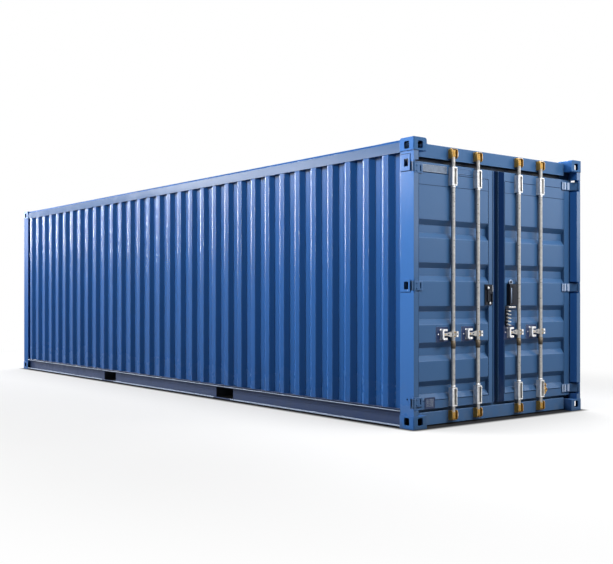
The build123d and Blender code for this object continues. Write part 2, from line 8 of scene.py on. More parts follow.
import bmesh
import bpy
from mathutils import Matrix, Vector


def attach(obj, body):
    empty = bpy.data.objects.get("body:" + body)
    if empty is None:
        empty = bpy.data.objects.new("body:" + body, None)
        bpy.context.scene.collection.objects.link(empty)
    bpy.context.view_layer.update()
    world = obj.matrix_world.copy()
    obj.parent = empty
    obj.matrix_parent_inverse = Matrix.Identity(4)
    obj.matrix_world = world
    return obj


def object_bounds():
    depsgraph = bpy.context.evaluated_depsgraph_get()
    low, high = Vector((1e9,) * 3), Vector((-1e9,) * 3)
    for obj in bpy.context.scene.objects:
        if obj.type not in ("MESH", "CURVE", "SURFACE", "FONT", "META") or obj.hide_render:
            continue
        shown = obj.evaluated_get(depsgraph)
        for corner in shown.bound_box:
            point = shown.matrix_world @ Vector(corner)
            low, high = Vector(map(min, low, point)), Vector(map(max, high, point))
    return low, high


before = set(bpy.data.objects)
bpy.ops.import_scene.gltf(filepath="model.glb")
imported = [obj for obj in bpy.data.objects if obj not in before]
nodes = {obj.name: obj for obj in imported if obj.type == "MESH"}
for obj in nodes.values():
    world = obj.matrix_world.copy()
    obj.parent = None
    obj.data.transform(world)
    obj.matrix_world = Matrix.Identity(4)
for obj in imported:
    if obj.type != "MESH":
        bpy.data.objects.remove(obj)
cad_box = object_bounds()


# Camera, at the photograph's view of the near door corner

camera_place = (10.368, -6.97, 1.163)
camera_heading = 51.9
camera_focal = 54.21
camera_film = 36
camera_rise = 0.0265
camera_reach = 200


def make_camera():
    """Level camera at about the height of a person's chest."""
    data = bpy.data.cameras.new("camera")
    data.lens = camera_focal
    data.sensor_width = camera_film
    data.shift_y = camera_rise
    data.clip_end = camera_reach
    camera = bpy.data.objects.new("camera", data)
    camera.location = camera_place
    camera.rotation_euler = (math.pi / 2, 0, math.radians(camera_heading))
    bpy.context.scene.collection.objects.link(camera)
    bpy.context.scene.camera = camera


make_camera()


# Node helpers


class Graph:
    """The node tree of one material, with short calls to add and join nodes."""

    def __init__(self, name):
        self.mat = bpy.data.materials.new(name)
        self.mat.use_nodes = True
        self.tree = self.mat.node_tree
        self.bsdf = self.tree.nodes["Principled BSDF"]
        self.coords = self.tree.nodes.new("ShaderNodeTexCoord").outputs["Object"]

    def add(self, kind, **settings):
        """New node with its settings."""
        node = self.tree.nodes.new("ShaderNode" + kind)
        for key, value in settings.items():
            setattr(node, key, value)
        return node

    def join(self, out, into):
        """Link an output, or set a plain value."""
        if isinstance(out, bpy.types.NodeSocket):
            self.tree.links.new(out, into)
        else:
            into.default_value = out

    def stretched(self, scale):
        """Object coordinates scaled along each axis."""
        node = self.add("Mapping")
        node.inputs["Scale"].default_value = scale
        self.join(self.coords, node.inputs["Vector"])
        return node.outputs["Vector"]

    def noise(self, scale, detail, stretch=(1, 1, 1), rough=0.5):
        """Value of a noise texture, from 0 to 1."""
        node = self.add("TexNoise")
        node.inputs["Scale"].default_value = scale
        node.inputs["Detail"].default_value = detail
        node.inputs["Roughness"].default_value = rough
        self.join(self.stretched(stretch), node.inputs["Vector"])
        return node.outputs["Fac"]

    def math(self, operation, a, b):
        """Sum, product or the like of two values."""
        node = self.add("Math", operation=operation)
        self.join(a, node.inputs[0])
        self.join(b, node.inputs[1])
        return node.outputs[0]

    def span(self, value, low, high, to_low=0.0, to_high=1.0):
        """Map a value from one range to another, with smooth ends."""
        node = self.add("MapRange", interpolation_type="SMOOTHSTEP")
        self.join(value, node.inputs["Value"])
        node.inputs["From Min"].default_value = low
        node.inputs["From Max"].default_value = high
        node.inputs["To Min"].default_value = to_low
        node.inputs["To Max"].default_value = to_high
        return node.outputs["Result"]

    def mix(self, amount, a, b):
        """Blend of two colours."""
        node = self.add("Mix", data_type="RGBA")
        self.join(amount, node.inputs["Factor"])
        for value, socket in ((a, node.inputs[6]), (b, node.inputs[7])):
            if isinstance(value, bpy.types.NodeSocket):
                self.tree.links.new(value, socket)
            else:
                socket.default_value = (*value, 1)
        return node.outputs[2]

    def height(self):
        """Height above the ground."""
        node = self.add("SeparateXYZ")
        self.join(self.coords, node.inputs[0])
        return node.outputs["Z"]

    def rounded(self, radius):
        """Normal of edges rounded to a radius."""
        node = self.add("Bevel", samples=4)
        node.inputs["Radius"].default_value = radius
        return node.outputs["Normal"]

    def worn_edge(self, radius):
        """One on sharp edges and zero on flats."""
        flat = self.add("NewGeometry").outputs["Normal"]
        node = self.add("VectorMath", operation="DOT_PRODUCT")
        self.join(self.rounded(radius), node.inputs[0])
        self.join(flat, node.inputs[1])
        return self.span(node.outputs["Value"], 0.97, 0.8)

    def bump(self, value, distance, strength, normal=None):
        """Normal disturbed by a height value."""
        node = self.add("Bump")
        node.inputs["Strength"].default_value = strength
        node.inputs["Distance"].default_value = distance
        self.join(value, node.inputs["Height"])
        if normal is not None:
            self.join(normal, node.inputs["Normal"])
        return node.outputs["Normal"]


# Materials

grime_colour = (0.09, 0.1, 0.11)
grime_top = 0.55
cavity_shade_colour = (0.002, 0.003, 0.006)
rubbed_zinc = (0.85, 0.86, 0.87)
ply_dark = (0.16, 0.085, 0.035)
ply_light = (0.36, 0.21, 0.1)
ply_scuff = (0.2, 0.17, 0.13)


def paint(name, colour, gloss, sag=0, dust=0.25, radius=0.003, shine=0.2, ends=None, cavity_shade_reach=0, edge_wear_and_highlight=0.2):
    """Semi-gloss marine paint on steel, with faint sheet waves, dust, lightened edges and painted shade.

    Gloss is the roughness, sag the depth of the sheet's waves, dust the share of grime near
    the ground, radius the rounding of the edges, shine the specular level and rub the share
    of lightening on the edges, which is partly wear and partly a painted highlight. Ends is a
    darker colour painted as shade on the faces that look towards the doors, and hollow is the
    reach in metres of the painted shade that darkens the inside of its cavities.
    """
    g = Graph(name)
    light = [min(1, c * 1.25 + 0.01) for c in colour]
    wear_and_highlight_colour = [min(1, c * 1.8 + 0.06) for c in colour]
    dark = [c * 0.72 for c in colour]
    # Pale patches and rain streaks
    patch = g.span(g.noise(0.6, 3), 0.35, 0.65)
    streak = g.span(g.noise(1.6, 3, (1, 1, 0.1)), 0.5, 0.8, 0, 0.12)
    base = g.mix(g.math("MULTIPLY", patch, 0.15), colour, light)
    base = g.mix(streak, base, dark)
    # Painted shade: faces that look towards the doors take the darker ends colour
    if ends:
        facing = g.add("SeparateXYZ")
        g.join(g.add("TexCoord").outputs["Normal"], facing.inputs[0])
        base = g.mix(g.span(facing.outputs["X"], 0.6, 0.8), base, ends)
    # Grime near the ground
    low = g.span(g.height(), grime_top, 0)
    grime = g.math("MULTIPLY", low, g.span(g.noise(9, 5), 0.4, 0.7, 0.2, 1))
    base = g.mix(g.math("MULTIPLY", grime, dust), base, grime_colour)
    # Edges lightened for wear and as a painted highlight, and painted shade in cavities
    edge = g.worn_edge(radius)
    base = g.mix(g.math("MULTIPLY", edge, edge_wear_and_highlight), base, wear_and_highlight_colour)
    # Painted shade: ambient occlusion darkens the inside of cavities towards near black
    if cavity_shade_reach:
        inside = g.add("AmbientOcclusion", samples=8)
        inside.inputs["Distance"].default_value = cavity_shade_reach
        open_air = g.span(inside.outputs["AO"], 0.3, 0.62)
        base = g.mix(open_air, cavity_shade_colour, base)
    g.join(base, g.bsdf.inputs["Base Color"])
    # Uneven gloss, waves of the sheet and the fine grain of the paint
    rough = g.span(g.noise(3, 3), 0.3, 0.7, gloss - 0.015, gloss + 0.025)
    g.join(g.math("ADD", rough, g.math("MULTIPLY", grime, 0.25)), g.bsdf.inputs["Roughness"])
    g.bsdf.inputs["Specular IOR Level"].default_value = shine
    normal = g.rounded(radius)
    if sag:
        normal = g.bump(g.noise(1.7, 2, (1, 1, 0.6)), sag, 1.0, normal)
    normal = g.bump(g.noise(420, 2), 0.0002, 0.35, normal)
    g.join(normal, g.bsdf.inputs["Normal"])
    return g.mat


def zinc(name, colour, rough, metal, spangle=60):
    """Galvanized steel with the mottled look of zinc."""
    g = Graph(name)
    cell = g.add("TexVoronoi")
    cell.inputs["Scale"].default_value = spangle
    g.join(g.coords, cell.inputs["Vector"])
    mottle = g.span(g.noise(35, 4), 0.3, 0.7)
    base = g.mix(mottle, [c * 0.82 for c in colour], [min(1, c * 1.12) for c in colour])
    base = g.mix(g.math("MULTIPLY", g.worn_edge(0.002), 0.4), base, rubbed_zinc)
    g.join(base, g.bsdf.inputs["Base Color"])
    g.bsdf.inputs["Metallic"].default_value = metal
    spread = g.math("MULTIPLY", cell.outputs["Distance"], 0.18)
    g.join(g.math("ADD", spread, rough), g.bsdf.inputs["Roughness"])
    g.join(g.bump(g.noise(180, 3), 0.0003, 0.5, g.rounded(0.002)), g.bsdf.inputs["Normal"])
    return g.mat


def rubber(name, colour):
    """Matt door seal rubber with a fine grain."""
    g = Graph(name)
    base = g.mix(g.noise(22, 4), colour, [c * 1.7 + 0.002 for c in colour])
    g.join(base, g.bsdf.inputs["Base Color"])
    g.bsdf.inputs["Roughness"].default_value = 0.72
    g.bsdf.inputs["Specular IOR Level"].default_value = 0
    g.join(g.bump(g.noise(260, 3), 0.0004, 0.4, g.rounded(0.004)), g.bsdf.inputs["Normal"])
    return g.mat


def plywood(name):
    """Varnished plywood with long grain and scuffed patches."""
    g = Graph(name)
    grain = g.noise(7, 6, (0.35, 6, 6), 0.62)
    base = g.mix(grain, ply_dark, ply_light)
    scuff = g.span(g.noise(2.6, 5), 0.5, 0.72, 0, 0.45)
    base = g.mix(scuff, base, ply_scuff)
    g.join(base, g.bsdf.inputs["Base Color"])
    g.join(g.span(g.noise(5, 4), 0.3, 0.7, 0.42, 0.68), g.bsdf.inputs["Roughness"])
    g.join(g.bump(grain, 0.0006, 0.6), g.bsdf.inputs["Normal"])
    return g.mat


frame_blue = (0.028, 0.125, 0.37)
wall_blue = (0.013, 0.08, 0.265)
rail_blue = (0.05, 0.1, 0.21)
# Painted shade: darker navy for the shaded web of the bottom rail channel
rail_shade_blue = (0.014, 0.034, 0.1)
door_blue = (0.03, 0.082, 0.182)

finishes = {
    # Painted shade: faces that look towards the doors take the darker door_blue
    "frame": paint("frame_paint", frame_blue, 0.19, ends=door_blue),
    # Wall edges lightened strongly, partly wear and partly painted highlight along the corrugation bends
    "wall": paint("wall_paint", wall_blue, 0.24, sag=0.0005, dust=0.12, radius=0.02, shine=0.08, edge_wear_and_highlight=0.6),
    # Painted shade: front posts take the darker wall blue, a shaded copy of the rear posts' paint
    "post": paint("front_post_shade_paint", wall_blue, 0.5, dust=0.12, shine=0.02),
    "rail": paint("rail_paint", rail_blue, 0.15, shine=0.1),
    # Painted shade on the bottom rails and pocket frames
    "sill": paint("rail_shade_paint", rail_shade_blue, 0.4, dust=0.15),
    # Pale blue-grey paint; on the rail strips it is a painted highlight
    "lip": paint("lip_paint", (0.3, 0.37, 0.5), 0.4, dust=0.1),
    "roof": paint("roof_paint", wall_blue, 0.5, sag=0.004, shine=0.01),
    # Door edges lightened, partly wear and partly painted highlight along the rib bends
    "door": paint("door_paint", door_blue, 0.32, sag=0.002, radius=0.009, shine=0.15, edge_wear_and_highlight=0.8),
    # Painted shade darkens the header's cavities; its edges are lightened for wear and as painted
    # highlight
    "header": paint("header_paint", door_blue, 0.36, sag=0.002, radius=0.009, shine=0.08, edge_wear_and_highlight=0.8,
                    cavity_shade_reach=0.09),
    "bronze": zinc("sleeve_steel", (0.1, 0.075, 0.045), 0.45, metal=0.3),
    "pad": paint("pad_paint", (0.012, 0.025, 0.075), 0.4, radius=0.001),
    # Painted shade: faces towards the doors take door_blue and the cavities darken to near black
    "casting": paint("casting_paint", frame_blue, 0.45, dust=0.4, radius=0.006, shine=0.05, ends=door_blue,
                     cavity_shade_reach=0.13),
    # Painted shade: near-black navy for the gap along the doors' meeting edges
    "deep": paint("shade_strip_paint", (0.004, 0.014, 0.05), 0.4, radius=0.001, shine=0),
    "under": paint("underside_paint", (0.02, 0.024, 0.032), 0.6, dust=0.5),
    "zinc": zinc("galvanized_steel", (0.66, 0.66, 0.66), 0.36, metal=0.6),
    "bar": zinc("bar_steel", (0.36, 0.355, 0.345), 0.24, metal=0.6, spangle=30),
    "plate": zinc("plate_steel", (0.08, 0.11, 0.16), 0.45, metal=0.2, spangle=90),
    "gold": zinc("yellow_zinc", (0.38, 0.22, 0.045), 0.34, metal=0.6),
    "dark": paint("dark_steel", (0.006, 0.008, 0.014), 0.45, radius=0.002, shine=0.15),
    "rubber": rubber("seal_rubber", (0.003, 0.006, 0.016)),
    "wood": plywood("deck_plywood"),
}

node_finish = {
    "top_corner_castings": "casting",
    "bottom_corner_castings": "casting",
    "rear_post_left": "frame",
    "rear_post_right": "frame",
    "front_post_left": "post",
    "front_post_right": "post",
    "top_side_rails": "rail",
    "bottom_side_rails": "sill",
    "pocket_frames": "sill",
    "door_header": "header",
    "door_sill": "door",
    "front_header": "frame",
    "front_sill": "frame",
    "side_wall_left": "wall",
    "side_wall_right": "wall",
    "front_wall": "wall",
    "roof_panel": "roof",
    "floor_deck": "wood",
    "cross_members": "under",
    "fork_pocket_walls": "under",
    "fork_pocket_roofs": "under",
    "cam_keepers": "gold",
    "hinge_lugs": "frame",
    "left_latch_plate": "dark",
    "right_lock_box": "dark",
}
for i in range(1, 5):
    node_finish[f"lock_bar_{i}"] = "bar"
    node_finish[f"bar_cams_{i}"] = "gold"
for side in ("left", "right"):
    node_finish[f"{side}_door_panel"] = "door"
    node_finish[f"{side}_door_frame"] = "door"
    node_finish[f"{side}_door_gasket"] = "rubber"
    node_finish[f"{side}_door_hinges"] = "door"
    node_finish[f"{side}_bar_guides"] = "zinc"
    node_finish[f"{side}_handle_catches"] = "zinc"

for node, finish in node_finish.items():
    for slot in nodes[node].material_slots:
        slot.material = finishes[finish]


# Small pieces that the scene adds to the CAD bodies

forward = (1, 0, 0)
upward = (0, 0, 1)


class Piece:
    """One mesh made of many small shapes, in the row frame."""

    def __init__(self, name, body, finish):
        self.name, self.body, self.finish = name, body, finish
        self.bm = bmesh.new()

    def block(self, low, high, soft=0.0):
        """Box between two corners, with softened edges."""
        size = [b - a for a, b in zip(low, high)]
        mid = [(a + b) / 2 for a, b in zip(low, high)]
        made = bmesh.ops.create_cube(self.bm, size=1)["verts"]
        bmesh.ops.scale(self.bm, vec=size, verts=made)
        bmesh.ops.translate(self.bm, vec=mid, verts=made)
        if soft:
            edges = list({e for v in made for e in v.link_edges})
            bmesh.ops.bevel(self.bm, geom=edges, offset=soft, segments=2, affect="EDGES", profile=0.5)

    def circles(self, centre, axis, rows, sides):
        """Loops of vertices about an axis, one for each radius and height in the rows."""
        turn = Vector(upward).rotation_difference(Vector(axis)).to_matrix()
        loops = []
        for radius, height in rows:
            loop = []
            for k in range(sides):
                a = 2 * math.pi * k / sides
                p = turn @ Vector((radius * math.cos(a), radius * math.sin(a), height))
                loop.append(self.bm.verts.new(p + Vector(centre)))
            loops.append(loop)
        return loops

    def skin(self, low, high, smooth=True):
        """Band of faces between two closed loops of vertices."""
        for k in range(len(low)):
            j = (k + 1) % len(low)
            self.bm.faces.new((low[k], low[j], high[j], high[k])).smooth = smooth

    def caps(self, loops):
        """Faces that close the first loop and the last one."""
        self.bm.faces.new(loops[-1])
        self.bm.faces.new(loops[0][::-1])

    def rod(self, base, axis, radius, length, dome=0, sides=20):
        """Round bar, with its outer end domed where a height for the dome is given."""
        rows = [(radius, 0), (radius, length - dome)]
        if dome:
            rows += [(radius * 0.8, length - dome * 0.3), (radius * 0.4, length)]
        loops = self.circles(base, axis, rows, sides)
        for low, high in zip(loops, loops[1:]):
            self.skin(low, high)
        self.caps(loops)

    def head(self, base, radius, height, sides=12):
        """Head of a bolt or a rivet that looks forward, with its outer half domed."""
        self.rod(base, forward, radius, height, height / 2, sides)

    def ring(self, centre, axis, major, minor, sides=24, round_sides=10):
        """Round ring about an axis."""
        turns = [2 * math.pi * k / round_sides for k in range(round_sides)]
        rows = [(major + minor * math.cos(a), minor * math.sin(a)) for a in turns]
        loops = self.circles(centre, axis, rows, sides)
        for low, high in zip(loops, loops[1:] + loops[:1]):
            self.skin(low, high)

    def collar(self, centre, inner, outer, height, sides=24):
        """Upright sleeve round a bar, with flat ends."""
        half = height / 2
        rows = [(inner, -half), (outer, -half), (outer, half), (inner, half)]
        loops = self.circles(centre, upward, rows, sides)
        for k, low in enumerate(loops):
            self.skin(low, loops[(k + 1) % 4], smooth=k in (1, 3))

    def sheet(self, outline, low, high):
        """Plate with an outline in Y and Z, from low to high along X."""
        loops = [[self.bm.verts.new((x, y, z)) for y, z in outline] for x in (low, high)]
        self.skin(*loops, smooth=False)
        self.caps(loops)

    def done(self):
        """Make the object, give it its finish and tie it to its body."""
        bmesh.ops.recalc_face_normals(self.bm, faces=self.bm.faces)
        mesh = bpy.data.meshes.new(self.name)
        self.bm.to_mesh(mesh)
        self.bm.free()
        mesh.materials.append(finishes[self.finish])
        made = bpy.data.objects.new(self.name, mesh)
        bpy.context.scene.collection.objects.link(made)
        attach(made, self.body)


# Places on the CAD parts, in metres

end = cad_box[1][0]
side_face = 1.213
door_face = 4.4645
hinge_face = door_face + 0.01
pad_face = door_face + 0.003
guide_face = door_face + 0.052
catch_face = door_face + 0.04
bar_line = 4.4915
inner = 4.3845
door_low = 0.157
door_high = 2.394
stile = 0.122
hinge_stile = 1.059
hinge_levels = (0.230, 1.2755, 2.330)
guide_levels = (0.252, 2.289)
keeper_levels = (0.084, 2.498)
handle_level = 0.830
bars = (-0.64, -0.3, 0.3, 0.64)
bar_radius = 0.019
catch_offset = 0.119
rail_under = 2.468
sill_over = 0.172
casting_top = 0.118
deck_top = 0.17
wall_pitch = 0.264
pocket_place = 1.46
eased = 0.001


def sided(s, a, b):
    """Low and high end of a stretch on the left side, where s is -1, or on the right one."""
    return sorted((s * a, s * b))


# Plates on the posts, with painted shade lines and a painted dark hole

hole_place = 4.4645
hole_width = 0.052
hole_height = 0.068
hole_levels = (1.2755, 2.368)
plate_starts = (4.408, 4.392)
plate_heights = ((1.220, 1.331), (2.295, 2.442))
plate_end = 4.512
plate_thickness = 0.005
# Painted shade: thin dark lines at the plates' edges and a dark disc for a small hole
post_shade_run = (4.388, 4.513)
post_shade_levels = (1.2175, 2.2925, 2.4445)
seam_half = 0.002
hole_shade_place = 4.475
hole_shade_level = 0.265
hole_shade_radius = 0.008


def framed_hole(piece, s, start, low, high, level):
    """Plate on the side of a post, with a rectangular hole in it at a level."""
    y0, y1 = sided(s, side_face, side_face + plate_thickness)
    before, after = hole_place - hole_width / 2, hole_place + hole_width / 2
    under, over = level - hole_height / 2, level + hole_height / 2
    piece.block((start, y0, low), (before, y1, high), eased)
    piece.block((after, y0, low), (plate_end, y1, high), eased)
    piece.block((before, y0, low), (after, y1, under), eased)
    piece.block((before, y0, over), (after, y1, high), eased)


def make_post_plates():
    """Raised plates round the holes in the door posts, with thin dark lines at their edges and a dark disc
    low on each post, painted shade of the edges and of a small hole.
    """
    plates = Piece("post_hole_plates", "container_frame", "frame")
    seams = Piece("post_shade_lines", "container_frame", "rubber")
    for s in (-1, 1):
        for start, (low, high), level in zip(plate_starts, plate_heights, hole_levels):
            framed_hole(plates, s, start, low, high, level)
        y0, y1 = sided(s, side_face, side_face + seam_half)
        for z in post_shade_levels:
            seams.block((post_shade_run[0], y0, z - seam_half), (post_shade_run[1], y1, z + seam_half))
        seams.rod((hole_shade_place, s * side_face, hole_shade_level), (0, s, 0), hole_shade_radius, seam_half)
    plates.done()
    seams.done()


gusset_set_back = 0.006
gusset_thickness = 0.006
gusset_width = (1.054, 1.106)
gusset_top = 0.174


def make_sill_gussets():
    """Small plates between the front sill, its castings and its posts."""
    gussets = Piece("front_sill_gussets", "container_frame", "frame")
    x0 = gusset_set_back - end
    x1 = x0 + gusset_thickness
    for s in (-1, 1):
        y0, y1 = sided(s, *gusset_width)
        gussets.block((x0, y0, casting_top), (x1, y1, gusset_top), eased)
    gussets.done()


# Feet and lips of the keepers

foot_half = 0.05
foot_edge = 0.046
foot_thickness = 0.003
keeper_lip = (0.022, 0.038)
keeper_lip_wall = 0.004
keeper_lip_depth = 0.03
half_round_steps = 8


def half_round(y, z, width, height):
    """Points of the right half of an ellipse, from its foot to its top."""
    turns = [math.pi * (k / half_round_steps - 0.5) for k in range(half_round_steps + 1)]
    return [(y + width * math.cos(a), z + height * math.sin(a)) for a in turns]


def make_keeper_flanges():
    """Welded feet of the keepers, with a bright rounded lip on the right of each."""
    feet = Piece("keeper_feet", "container_frame", "door")
    lips = Piece("keeper_lips", "container_frame", "zinc")
    x = door_face
    width, height = keeper_lip
    wall = keeper_lip_wall
    for z in keeper_levels:
        for y in bars:
            edge = y + foot_edge
            feet.block((x, y - foot_half, z - foot_half), (x + foot_thickness, edge, z + foot_half), eased)
            outside = half_round(edge, z, width, height)
            inside = half_round(edge - wall, z, width - 2 * wall, height - wall)
            lips.sheet(outside + inside[::-1], x, x + keeper_lip_depth)
    feet.done()
    lips.done()


# Seams of the walls, and pale strips on the rails as painted highlights

sheet_width = 4 * wall_pitch
wall_seam_half = 0.003
wall_seam_depths = (0.039, 0.0375)
flange_lip_highlight = (0.0142, 0.028)
flange_lip_highlight_thickness = 0.004
flange_lip_highlight_runs = ((-inner, -1.635), (-1.285, 1.285), (1.635, inner))
lit_ledge = (0.149, 0.157)
lit_ledge_thickness = 0.003


def make_weld_seams():
    """Upright sheet joints of the side walls."""
    seams = Piece("wall_sheet_seams", "container_frame", "wall")
    deep, shallow = wall_seam_depths
    for s in (-1, 1):
        y0, y1 = sided(s, side_face - deep, side_face - shallow)
        for k in range(-4, 4):
            x = (k + 0.5) * sheet_width
            seams.block((x - wall_seam_half, y0, sill_over), (x + wall_seam_half, y1, rail_under))
    seams.done()


def make_rail_lip_highlights():
    """Pale strips on the lower flange of the bottom rails and on the ledge above the rail, painted
    highlights of their lit edges.
    """
    lips = Piece("rail_lip_highlights", "container_frame", "lip")
    for s in (-1, 1):
        y0, y1 = sided(s, side_face, side_face + flange_lip_highlight_thickness)
        for x0, x1 in flange_lip_highlight_runs:
            lips.block((x0, y0, flange_lip_highlight[0]), (x1, y1, flange_lip_highlight[1]), eased)
        y0, y1 = sided(s, side_face, side_face + lit_ledge_thickness)
        lips.block((-inner, y0, lit_ledge[0]), (inner, y1, lit_ledge[1]), eased)
    lips.done()


# Roof plates and deck screws

guard_run = (4.12, inner - 0.004)
guard_width = (0.86, 1.19)
guard_low = 2.5802
guard_high = 2.584
screw_rows = 29
row_step = 0.3
screws_in_row = 9
screw_step = 0.275
screw_radius = 0.006
screw_height = 0.0006
pocket_clearance = 0.24


def make_roof_plates():
    """Guard plates beside the top castings."""
    plates = Piece("roof_guard_plates", "container_frame", "roof")
    for sx in (-1, 1):
        for sy in (-1, 1):
            x0, x1 = sided(sx, *guard_run)
            y0, y1 = sided(sy, *guard_width)
            plates.block((x0, y0, guard_low), (x1, y1, guard_high), eased)
    plates.done()


def make_deck_screws():
    """Screws that hold the deck to the cross members, with none over the fork pockets."""
    screws = Piece("deck_screws", "container_frame", "zinc")
    for i in range(screw_rows):
        x = (i - screw_rows // 2) * row_step
        if abs(abs(x) - pocket_place) < pocket_clearance:
            continue
        for j in range(screws_in_row):
            y = (j - screws_in_row // 2) * screw_step
            screws.rod((x, y, deck_top), upward, screw_radius, screw_height, sides=10)
    screws.done()


# Painted shade lines and strips, and fasteners, on the doors

shade_line_thickness = 0.0012
shade_line_top = 2.302
shade_line_foot = 0.235
# Painted shade: thin dark lines at the panel's grooves and under the top plates
shade_line_rows = ((shade_line_top, 0.005), (2.19, 0.003), (0.232, 0.004))
shade_line_columns = ((stile - 0.006, 0.005), (hinge_stile + 0.001, 0.003))
edge_shade_line = (-0.064, -0.057)
edge_shade_line_gap = 0.004
meeting_shade_strips = {"left": (-0.043, -0.026), "right": (0.027, 0.106)}
strip_thickness = 0.004
strip_gap = 0.002
bolt_place = 1.093
bolt_half_gap = 0.024
hinge_bolt = (0.0075, 0.006)
guide_rivet = (0.005, 0.003)
guide_rivet_places = (0.0265, 0.062)
catch_rivet = (0.006, 0.004)
catch_rivet_places = (0.11, 0.04)
pad_rivet = (0.007, 0.005, 0.003)
pad_rivet_offset = 0.055
bracket_hole_offset = 0.046
bracket_hole_radius = 0.0075
bracket_hole_height = 0.0008
pad_half = (0.08, 0.07)
catch_half = (0.0312, 0.0502)
catch_opening = (-0.0118, 0.0308)
pad_face_thickness = 0.0012


def own_bars(s):
    """Places of the lock bars on the door of one side."""
    return [y for y in bars if y * s > 0]


def make_door_shade_lines(name, s):
    """Thin dark lines round the panel of one door and along the left door's edge, painted shade in the
    grooves there.
    """
    shade_lines = Piece(f"{name}_panel_shade_lines", f"{name}_door", "rubber")
    x0, x1 = door_face, door_face + shade_line_thickness
    y0, y1 = sided(s, stile, hinge_stile)
    for z, height in shade_line_rows:
        shade_lines.block((x0, y0, z), (x1, y1, z + height))
    for y, width in shade_line_columns:
        y0, y1 = sided(s, y, y + width)
        shade_lines.block((x0, y0, shade_line_foot), (x1, y1, shade_line_top))
    if name == "left":
        y0, y1 = edge_shade_line
        shade_lines.block((x0, y0, door_low + edge_shade_line_gap), (x1, y1, door_high - edge_shade_line_gap))
    shade_lines.done()


def make_meeting_shade_strip(name):
    """Dark strip down the meeting edge of one door, painted shade of the gap between the doors."""
    strip = Piece(f"{name}_meeting_shade_strip", f"{name}_door", "deep")
    x0, x1 = door_face, door_face + strip_thickness
    y0, y1 = meeting_shade_strips[name]
    strip.block((x0, y0, door_low + strip_gap), (x1, y1, door_high - strip_gap), eased)
    strip.done()


def make_hinge_bolts(name, s):
    """Two domed bolts on each hinge of one door."""
    bolts = Piece(f"{name}_hinge_bolts", f"{name}_door", "door")
    for z in hinge_levels:
        for dz in (-bolt_half_gap, bolt_half_gap):
            bolts.head((hinge_face, s * bolt_place, z + dz), *hinge_bolt)
    bolts.done()


def make_guide_rivets(name, s):
    """Rivets of the guides, the catches and the catches' pads on one door."""
    rivets = Piece(f"{name}_guide_rivets", f"{name}_door", "zinc")
    across, up = guide_rivet_places
    left, apart = catch_rivet_places
    for y in own_bars(s):
        for z in guide_levels:
            for dy in (-across, across):
                for dz in (-up, up):
                    rivets.head((guide_face, y + dy, z + dz), *guide_rivet)
        for dz in (-apart, apart):
            rivets.head((catch_face, y - left, handle_level + dz), *catch_rivet)
        place = (pad_face + 0.001, y - catch_offset - pad_rivet_offset, handle_level)
        rivets.rod(place, forward, *pad_rivet, sides=12)
    rivets.done()


def make_bracket_hole_shades(name, s):
    """Flat dark discs on the brackets beside the bars of one door, painted shade that stands for their
    holes.
    """
    holes = Piece(f"{name}_bracket_hole_shades", f"{name}_door", "dark")
    for y in own_bars(s):
        place = (catch_face, y + bracket_hole_offset, handle_level)
        holes.rod(place, forward, bracket_hole_radius, bracket_hole_height, sides=14)
    holes.done()


def make_pad_faces(name, s):
    """Dark faces of the pads, round the foot of each catch and in its opening."""
    pads = Piece(f"{name}_pad_faces", f"{name}_door", "pad")
    x0, x1 = pad_face, pad_face + pad_face_thickness
    wide, high = pad_half
    across, up = catch_half
    start, half = catch_opening
    fields = (
        (-wide, -across, -high, high),
        (across, wide, -high, high),
        (-across, across, up, high),
        (-across, across, -high, -up),
        (start, across, -half, half),
    )
    for y in own_bars(s):
        mid = y - catch_offset
        for y0, y1, z0, z1 in fields:
            pads.block((x0, mid + y0, handle_level + z0), (x1, mid + y1, handle_level + z1))
    pads.done()


def make_door_trim(name, s):
    """The small pieces that both doors have."""
    make_door_shade_lines(name, s)
    make_meeting_shade_strip(name)
    make_hinge_bolts(name, s)
    make_guide_rivets(name, s)
    make_bracket_hole_shades(name, s)
    make_pad_faces(name, s)


# Bare plates on the left door

plate_sheet = 0.002
plate_rim = 0.004
plate_rim_height = 0.0012
plate_rivet = (0.0035, 0.003)
plate_rivet_inset = 0.011
field_height = 0.0005
field_margins = (0.02, 0.015)
field_gap = 0.004
field_split = 0.42
data_plate = (-0.985, -0.855, 0.162, 0.262)
data_rows = 6


def bare_plate(name, finish, y0, y1, z0, z1):
    """Blank plate with a raised rim and a rivet in each corner."""
    plate = Piece(name, "left_door", finish)
    x = door_face + plate_sheet
    plate.block((door_face, y0, z0), (x, y1, z1), 0.0008)
    rim = plate_rim
    for a, b in (((y0, z0), (y1, z0 + rim)), ((y0, z1 - rim), (y1, z1)),
                 ((y0, z0 + rim), (y0 + rim, z1 - rim)), ((y1 - rim, z0 + rim), (y1, z1 - rim))):
        plate.block((x, *a), (x + plate_rim_height, *b))
    for y in (y0 + plate_rivet_inset, y1 - plate_rivet_inset):
        for z in (z0 + plate_rivet_inset, z1 - plate_rivet_inset):
            plate.head((x, y, z), *plate_rivet, sides=10)
    plate.done()


def blank_fields(name, finish, y0, y1, z0, z1, rows):
    """Rows of two empty fields on a plate."""
    fields = Piece(name, "left_door", finish)
    x0, x1 = door_face + plate_sheet, door_face + plate_sheet + field_height
    side, foot = field_margins
    step = (z1 - z0 - 2 * foot) / rows
    mid = y0 + field_split * (y1 - y0)
    for i in range(rows):
        z = z0 + foot + step * (i + 0.25)
        fields.block((x0, y0 + side, z), (x1, mid - field_gap, z + step / 2))
        fields.block((x0, mid + field_gap, z), (x1, y1 - side, z + step / 2))
    fields.done()


# Latch, lock box, holdback and hinge covers

